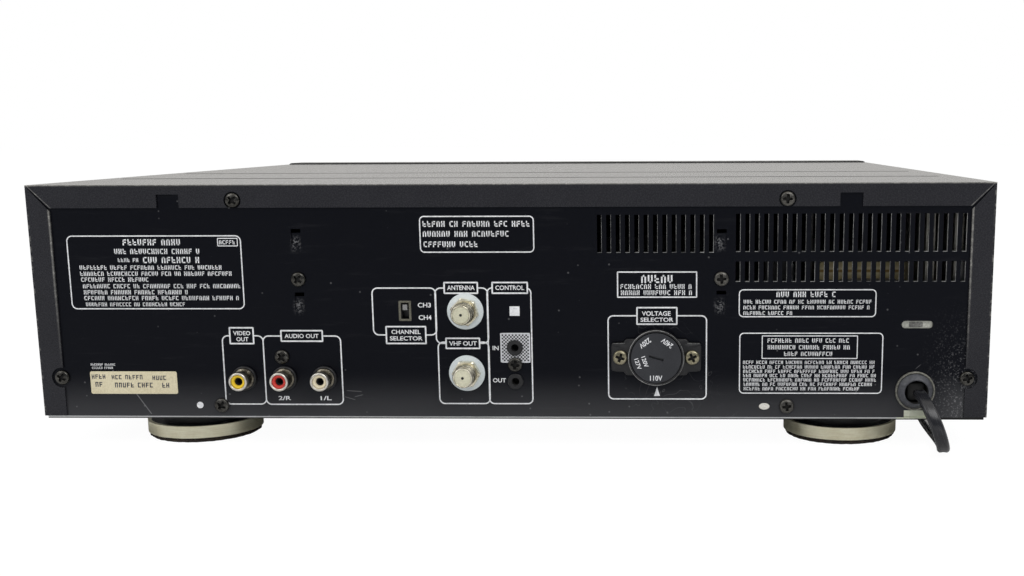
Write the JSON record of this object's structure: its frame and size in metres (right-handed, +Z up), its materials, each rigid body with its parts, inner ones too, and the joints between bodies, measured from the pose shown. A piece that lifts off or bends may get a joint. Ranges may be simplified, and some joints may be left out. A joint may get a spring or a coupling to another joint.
{
  "type": "laserdisc player",
  "caption": "Wide black disc player with a motor-driven tray, spindle, laser pickup and clamp, rear sockets, voltage dial, round feet and coiled mains lead.",
  "frame": {"origin": "on the surface that the feet stand on, below the middle of the box round everything but the mains lead", "axes": "+Z up; the fascia and tray face -Y, the sockets face +Y, +X is to the right as seen from the front"},
  "size_m": [0.5095, 0.4382, 0.1183],
  "materials": {
    "galvanised_steel": "zinc-plated sheet, spangled",
    "panel_black": "satin black paint, dusty",
    "cover_paint": "fine textured dark grey paint",
    "fascia_black": "fine moulded texture",
    "window_smoke": "smoked glossy window",
    "key_black": "satin moulded keys",
    "foot_black": "satin black plastic",
    "foot_gold": "champagne anodised, turned",
    "foot_felt": "worn dark felt",
    "screw_dark": "dark plated steel",
    "nickel": "bright nickel plate",
    "phono_colours": "coloured inserts: yellow, red, white",
    "washer_grey": "pale blue-grey ring",
    "moulding_black": "black moulded plastic",
    "dial_black": "satin blue-black dial",
    "cord_black": "soft black sheath",
    "board_green": "circuit board with parts",
    "tape_yellow": "yellow winding tape",
    "core_steel": "varnished laminations",
    "sink_aluminium": "extruded aluminium",
    "rubber_black": "soft rubber",
    "nylon_white": "natural moulded nylon",
    "tray_black": "fine textured black tray",
    "steel_bright": "ground steel",
    "lens_glass": "coated lens"
  },
  "bodies": {
    "root": {"bottom_chassis": "galvanised_steel", "rear_panel": "panel_black", "top_cover": "cover_paint", "front_fascia": "fascia_black", "display_window": "window_smoke", "front_board": "board_green", "foot_hubs": "foot_black", "foot_rings": "foot_gold", "foot_pads": "foot_felt", "foot_screws": "screw_dark", "rear_screws": "screw_dark", "jack_block": "moulding_black", "phono_shells": "nickel", "phono_inserts": "phono_colours", "aerial_sockets": "nickel", "aerial_washers": "washer_grey", "rf_modulator": "galvanised_steel", "control_jacks": "moulding_black", "channel_switch": "moulding_black", "voltage_selector": "moulding_black", "cord_gland": "moulding_black", "cord_relief": "cord_black", "cord_tube": "cord_black", "cord_coil": "cord_black", "mains_plug": "cord_black", "mech_base": "galvanised_steel", "mech_dampers": "rubber_black", "guide_shafts": "steel_bright", "spindle_motor": "galvanised_steel", "feed_motor": "galvanised_steel", "loading_frame": "galvanised_steel", "loading_motor": "galvanised_steel", "loading_belt": "rubber_black", "transformer_coil": "tape_yellow", "transformer_core": "core_steel", "heat_sink": "sink_aluminium", "signal_board": "board_green", "power_board": "board_green"},
    "tray_carrier": {"tray_carrier": "galvanised_steel"},
    "disc_tray": {"disc_tray": "tray_black"},
    "tray_door": {"tray_door": "fascia_black"},
    "lift_cam": {"lift_cam": "galvanised_steel"},
    "loading_gear": {"loading_gear": "nylon_white"},
    "motor_pulley": {"motor_pulley": "nylon_white"},
    "clamp_arm": {"clamp_arm": "galvanised_steel"},
    "clamper": {"clamper": "nylon_white"},
    "turntable": {"turntable": "rubber_black"},
    "pickup": {"pickup_carriage": "moulding_black"},
    "lens": {"objective_lens": "lens_glass"},
    "feed_screw": {"feed_screw": "steel_bright"},
    "voltage_dial": {"voltage_dial": "dial_black"},
    "channel_knob": {"channel_knob": "moulding_black"},
    "power_button": {"power_button": "key_black"},
    "open_close_button": {"open_close_button": "key_black"},
    "play_button": {"play_button": "key_black"},
    "stop_button": {"stop_button": "key_black"},
    "pause_button": {"pause_button": "key_black"},
    "skip_back_button": {"skip_back_button": "key_black"},
    "skip_forward_button": {"skip_forward_button": "key_black"}
  },
  "joints": [
    {"name": "lift_cam_slide", "type": "slide", "parent": "root", "child": "lift_cam", "axis": [0, -1, 0], "range_m": [-0.032, 0]},
    {"name": "tray_lift", "type": "slide", "parent": "root", "child": "tray_carrier", "axis": [0, 0, 1], "range_m": [-0.008, 0]},
    {"name": "tray_slide", "type": "slide", "parent": "tray_carrier", "child": "disc_tray", "axis": [0, -1, 0], "range_m": [0, 0.3]},
    {"name": "tray_door_slide", "type": "slide", "parent": "root", "child": "tray_door", "axis": [0, -1, 0], "range_m": [0, 0.3]},
    {"name": "loading_gear_spin", "type": "hinge", "parent": "root", "child": "loading_gear", "pos_m": [0.1002, -0.1403, 0.0585], "axis": [0, 0, 1], "range_deg": [-1440, 0]},
    {"name": "motor_pulley_spin", "type": "hinge", "parent": "root", "child": "motor_pulley", "pos_m": [0.066, -0.1403, 0.0585], "axis": [0, 0, 1], "range_deg": [-6150, 0]},
    {"name": "clamp_arm_pivot", "type": "hinge", "parent": "root", "child": "clamp_arm", "pos_m": [0, 0.1517, 0.1035], "axis": [1, 0, 0], "range_deg": [0, 3.8]},
    {"name": "clamper_spin", "type": "hinge", "parent": "clamp_arm", "child": "clamper", "pos_m": [0, -0.0193, 0.0985], "axis": [0, 0, 1], "continuous": true},
    {"name": "turntable_spin", "type": "hinge", "parent": "root", "child": "turntable", "pos_m": [0, -0.0193, 0.0735], "axis": [0, 0, 1], "continuous": true},
    {"name": "pickup_slide", "type": "slide", "parent": "root", "child": "pickup", "axis": [0, 1, 0], "range_m": [0, 0.123]},
    {"name": "lens_focus", "type": "slide", "parent": "pickup", "child": "lens", "axis": [0, 0, 1], "range_m": [-0.0008, 0.0008], "stiffness_N_per_m": 60},
    {"name": "feed_screw_spin", "type": "hinge", "parent": "root", "child": "feed_screw", "pos_m": [0.052, -0.0193, 0.057], "axis": [0, 1, 0], "range_deg": [0, 14800]},
    {"name": "voltage_dial_turn", "type": "hinge", "parent": "root", "child": "voltage_dial", "pos_m": [-0.0648, 0.1939, 0.0417], "axis": [0, 1, 0], "range_deg": [0, 216]},
    {"name": "channel_knob_slide", "type": "slide", "parent": "root", "child": "channel_knob", "axis": [0, 0, -1], "range_m": [0, 0.003]},
    {"name": "power_button_press", "type": "slide", "parent": "root", "child": "power_button", "axis": [0, 1, 0], "range_m": [0, 0.0025], "stiffness_N_per_m": 300},
    {"name": "open_close_button_press", "type": "slide", "parent": "root", "child": "open_close_button", "axis": [0, 1, 0], "range_m": [0, 0.001], "stiffness_N_per_m": 300},
    {"name": "play_button_press", "type": "slide", "parent": "root", "child": "play_button", "axis": [0, 1, 0], "range_m": [0, 0.001], "stiffness_N_per_m": 300},
    {"name": "stop_button_press", "type": "slide", "parent": "root", "child": "stop_button", "axis": [0, 1, 0], "range_m": [0, 0.001], "stiffness_N_per_m": 300},
    {"name": "pause_button_press", "type": "slide", "parent": "root", "child": "pause_button", "axis": [0, 1, 0], "range_m": [0, 0.001], "stiffness_N_per_m": 300},
    {"name": "skip_back_button_press", "type": "slide", "parent": "root", "child": "skip_back_button", "axis": [0, 1, 0], "range_m": [0, 0.001], "stiffness_N_per_m": 300},
    {"name": "skip_forward_button_press", "type": "slide", "parent": "root", "child": "skip_forward_button", "axis": [0, 1, 0], "range_m": [0, 0.001], "stiffness_N_per_m": 300}
  ],
  "couplings": [
    {"joint": "tray_lift", "follows": "lift_cam_slide", "ratio": 0.25},
    {"joint": "clamp_arm_pivot", "follows": "lift_cam_slide", "rad_per_m": -2.0726},
    {"joint": "tray_door_slide", "follows": "tray_slide", "ratio": 1},
    {"joint": "loading_gear_spin", "follows": "tray_slide", "rad_per_m": -83.333},
    {"joint": "motor_pulley_spin", "follows": "tray_slide", "rad_per_m": -354.17},
    {"joint": "feed_screw_spin", "follows": "pickup_slide", "rad_per_m": 2094.4}
  ]
}
